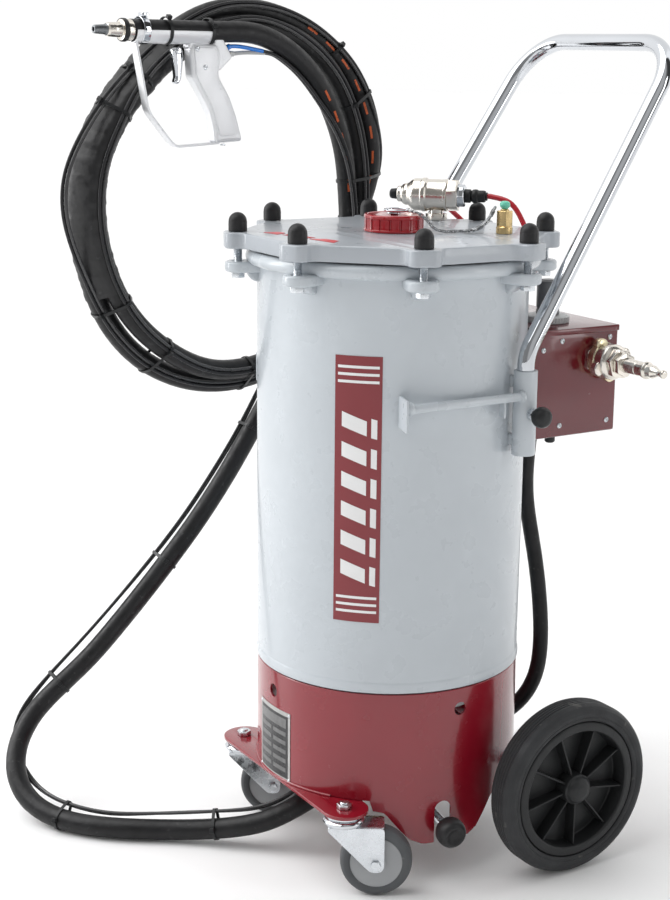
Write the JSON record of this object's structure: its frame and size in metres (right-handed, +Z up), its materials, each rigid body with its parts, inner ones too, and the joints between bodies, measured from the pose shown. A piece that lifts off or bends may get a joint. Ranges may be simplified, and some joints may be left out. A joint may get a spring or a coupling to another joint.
{
  "type": "mobile abrasive blasting pot",
  "caption": "Upright pressure vessel on wheels and swivel casters with a bolted lid, air control box, push handle, ringed blast hose and trigger gun.",
  "frame": {"origin": "on the floor, under the middle of the rigid object's bounding box; the vessel's axis stands 36 mm in front of it, towards -Y", "axes": "+Z up; -Y towards the swivel casters; +Y towards the large wheels and the push handle; +X towards the outlet lever and the air inlet"},
  "size_m": [0.6764, 0.8445, 1.201],
  "materials": {
    "grey_paint": "gloss",
    "red_paint": "gloss",
    "red_plastic": "gloss",
    "chrome": "polished",
    "zinc": "satin",
    "nickel": "satin",
    "brass": "satin",
    "cast_aluminium": "cast",
    "black_rubber": "matte",
    "black_plastic": "satin",
    "grey_plastic": "satin",
    "mint_plastic": "satin",
    "tyre_rubber": "matte"
  },
  "bodies": {
    "pot": {"vessel_shell": "grey_paint", "skirt": "red_paint", "caster_plate": "red_paint", "lid_plate": "grey_paint", "lid_gasket": "black_rubber", "filler_neck": "zinc", "exhaust_valve": "nickel", "vent_line": "red_plastic", "pilot_line": "red_plastic", "bleed_valve": "brass", "side_bracket_left": "grey_paint", "side_bracket_right": "grey_paint", "control_box": "red_paint", "valve_block": "cast_aluminium", "regulator_collar": "grey_plastic", "inlet_claw": "nickel", "axle": "zinc", "outlet_valve": "brass", "gun_body": "cast_aluminium", "gun_nozzle": "nickel", "hose_coil": "black_rubber", "blast_hose": "black_rubber", "hose_tail": "black_rubber", "rear_hose": "black_rubber", "control_line": "black_plastic", "lid_bolt_1": "zinc", "lid_bolt_2": "zinc", "lid_bolt_3": "zinc", "lid_bolt_4": "zinc", "lid_bolt_5": "zinc", "lid_bolt_6": "zinc", "lid_bolt_7": "zinc", "lid_bolt_8": "zinc", "bolt_cap_1": "black_rubber", "bolt_cap_2": "black_rubber", "bolt_cap_3": "black_rubber", "bolt_cap_4": "black_rubber", "bolt_cap_5": "black_rubber", "bolt_cap_6": "black_rubber", "bolt_cap_7": "black_rubber", "bolt_cap_8": "black_rubber"},
    "handle": {"handle": "chrome"},
    "cap_lifter": {"cap_ring": "zinc", "safety_chain": "zinc"},
    "cap": {"fill_cap": "red_plastic"},
    "bleed_knob": {"bleed_plug": "mint_plastic"},
    "regulator": {"regulator_knob": "grey_plastic"},
    "inlet_coupling": {"inlet_plug": "nickel"},
    "lever": {"outlet_lever": "black_rubber"},
    "trigger": {"gun_trigger": "chrome"},
    "lock_left": {"lock_knob_left": "black_plastic"},
    "lock_right": {"lock_knob_right": "black_plastic"},
    "wheel_left": {"wheel_hub_left": "black_plastic", "wheel_tyre_left": "tyre_rubber"},
    "wheel_right": {"wheel_hub_right": "black_plastic", "wheel_tyre_right": "tyre_rubber"},
    "swivel_left": {"caster_fork_left": "zinc"},
    "swivel_right": {"caster_fork_right": "zinc"},
    "roller_left": {"caster_wheel_left": "tyre_rubber"},
    "roller_right": {"caster_wheel_right": "tyre_rubber"}
  },
  "joints": [
    {"name": "handle_slide", "type": "slide", "parent": "pot", "child": "handle", "axis": [0, 0, 1], "range_m": [0, 0.055]},
    {"name": "cap_rise", "type": "slide", "parent": "pot", "child": "cap_lifter", "axis": [0, 0, 1], "range_m": [0, 0.0165]},
    {"name": "cap_turn", "type": "hinge", "parent": "cap_lifter", "child": "cap", "pos_m": [0, -0.036, 0.905], "axis": [0, 0, 1], "range_deg": [0, 1440]},
    {"name": "bleed_pull", "type": "slide", "parent": "pot", "child": "bleed_knob", "axis": [0, 0, 1], "range_m": [0, 0.008]},
    {"name": "regulator_turn", "type": "hinge", "parent": "pot", "child": "regulator", "pos_m": [0.064, 0.189, 0.79], "axis": [0, 0, 1], "range_deg": [-270, 270]},
    {"name": "inlet_turn", "type": "hinge", "parent": "pot", "child": "inlet_coupling", "pos_m": [0.16, 0.232, 0.712], "axis": [1, 0, 0], "range_deg": [0, 90]},
    {"name": "lever_lift", "type": "hinge", "parent": "pot", "child": "lever", "pos_m": [0.03571, -0.04057, 0.1], "axis": [-0.1271, -0.9919, 0], "range_deg": [-6, 8]},
    {"name": "trigger_pull", "type": "hinge", "parent": "pot", "child": "trigger", "pos_m": [-0.21014, -0.26107, 1.132], "axis": [0.9951, 0.0993, 0], "range_deg": [0, 12], "stiffness_Nm_per_rad": 0.5},
    {"name": "lock_turn_left", "type": "hinge", "parent": "pot", "child": "lock_left", "pos_m": [-0.225, 0.0581, 0.6615], "axis": [1, 0, 0], "continuous": true},
    {"name": "lock_turn_right", "type": "hinge", "parent": "pot", "child": "lock_right", "pos_m": [0.225, 0.0581, 0.6615], "axis": [1, 0, 0], "continuous": true},
    {"name": "wheel_roll_left", "type": "hinge", "parent": "pot", "child": "wheel_left", "pos_m": [-0.244, 0.118, 0.125], "axis": [1, 0, 0], "continuous": true},
    {"name": "wheel_roll_right", "type": "hinge", "parent": "pot", "child": "wheel_right", "pos_m": [0.244, 0.118, 0.125], "axis": [1, 0, 0], "continuous": true},
    {"name": "caster_swivel_left", "type": "hinge", "parent": "pot", "child": "swivel_left", "pos_m": [-0.147, -0.196, 0.11], "axis": [0, 0, 1], "continuous": true},
    {"name": "caster_swivel_right", "type": "hinge", "parent": "pot", "child": "swivel_right", "pos_m": [0.147, -0.196, 0.11], "axis": [0, 0, 1], "continuous": true},
    {"name": "caster_roll_left", "type": "hinge", "parent": "swivel_left", "child": "roller_left", "pos_m": [-0.12269, -0.15813, 0.05], "axis": [0.8415, -0.5402, 0], "continuous": true},
    {"name": "caster_roll_right", "type": "hinge", "parent": "swivel_right", "child": "roller_right", "pos_m": [0.17131, -0.15813, 0.05], "axis": [0.8415, -0.5402, 0], "continuous": true}
  ],
  "couplings": [
    {"joint": "cap_rise", "follows": "cap_turn", "m_per_rad": 0.00063662}
  ]
}
